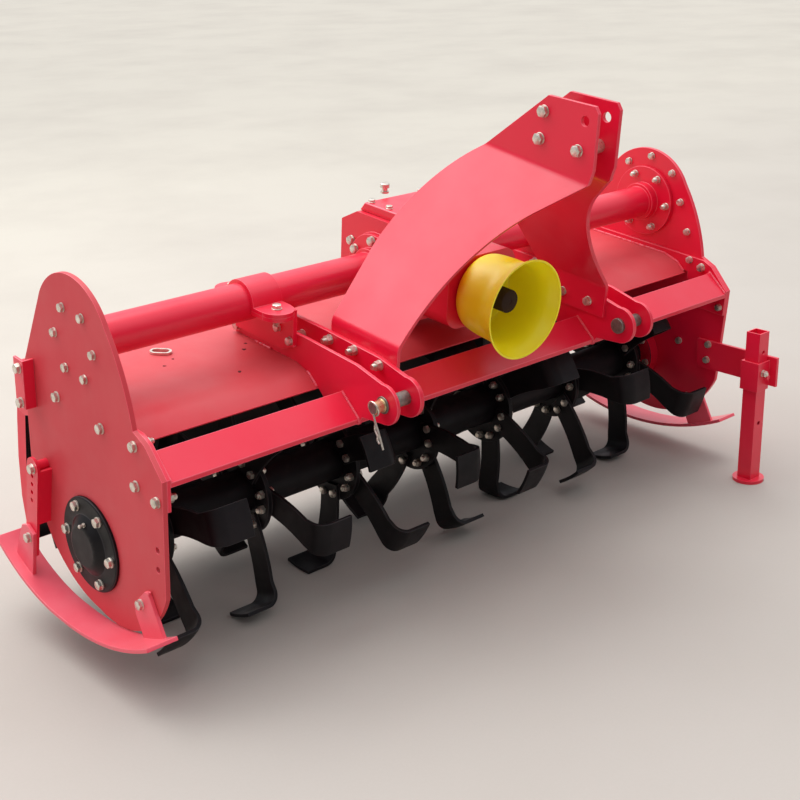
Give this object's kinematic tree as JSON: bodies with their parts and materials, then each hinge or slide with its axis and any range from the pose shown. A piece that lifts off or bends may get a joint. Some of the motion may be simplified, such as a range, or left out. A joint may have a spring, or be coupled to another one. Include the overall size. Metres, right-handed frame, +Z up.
{
  "type": "rotary tiller",
  "caption": "Three-point mounted rotary tiller with side gear drive, bent L blades, hitch mast, skids, rear trailing board and a front parking stand.",
  "frame": {"origin": "on the ground under the middle of the whole machine's footprint", "axes": "+X along the rotor towards the gear case side, -Y towards the tractor, +Z up; parked nose down by 5.6 degrees"},
  "size_m": [1.77, 0.8872, 1.0352],
  "materials": {
    "red_paint": "gloss",
    "black_paint": "satin",
    "yellow_plastic": "semi-gloss",
    "bare_steel": "satin",
    "zinc": "satin"
  },
  "bodies": {
    "rotor": {"rotor_tube": "black_paint", "tines_1": "black_paint", "tines_2": "black_paint", "tines_3": "black_paint", "tines_4": "black_paint", "tines_5": "black_paint", "tines_6": "black_paint", "tines_7": "black_paint"},
    "input_shaft": {"input_shaft": "bare_steel"},
    "trailing_board": {"trailing_board": "red_paint"},
    "stand_leg": {"stand_leg": "red_paint"},
    "frame": {"deck_sheet": "red_paint", "front_beam": "red_paint", "frame_end_right": "red_paint", "frame_end_left": "red_paint", "side_plate_left": "red_paint", "side_plate_right": "red_paint", "gear_case": "red_paint", "gear_case_cover": "red_paint", "cross_tube_right": "red_paint", "cross_tube_left": "red_paint", "gearbox_housing": "red_paint", "gearbox_lid": "red_paint", "shaft_guard": "yellow_plastic", "mast_right": "red_paint", "mast_left": "red_paint", "mast_spacers": "zinc", "hitch_plates_right": "red_paint", "hitch_plates_left": "red_paint", "hitch_pin_right": "bare_steel", "hitch_pin_left": "bare_steel", "tube_strap_right": "red_paint", "tube_strap_left": "red_paint", "tube_saddle_right": "red_paint", "tube_saddle_left": "red_paint", "bearing_cover": "black_paint", "skid_left": "red_paint", "skid_right": "red_paint", "skid_link_left": "red_paint", "skid_link_right": "red_paint", "board_bracket_right": "red_paint", "board_bracket_left": "red_paint", "side_angles": "red_paint", "rotor_hubs": "black_paint", "stand_arm": "red_paint"}
  },
  "joints": [
    {"name": "rotor_spin", "type": "hinge", "parent": "frame", "child": "rotor", "pos_m": [-0.008, 0.11181, 0.245], "axis": [1, 0, 0], "continuous": true},
    {"name": "input_spin", "type": "hinge", "parent": "frame", "child": "input_shaft", "pos_m": [-0.008, -0.12554, 0.61611], "axis": [0, -0.9952, -0.0976], "continuous": true},
    {"name": "board_swing", "type": "hinge", "parent": "frame", "child": "trailing_board", "pos_m": [-0.008, 0.34699, 0.53132], "axis": [1, 0, 0], "range_deg": [0, 45]},
    {"name": "stand_slide", "type": "slide", "parent": "frame", "child": "stand_leg", "axis": [0, 0, 1], "range_m": [0, 0.18]}
  ],
  "couplings": [
    {"joint": "input_spin", "follows": "rotor_spin", "ratio": 2.35}
  ]
}
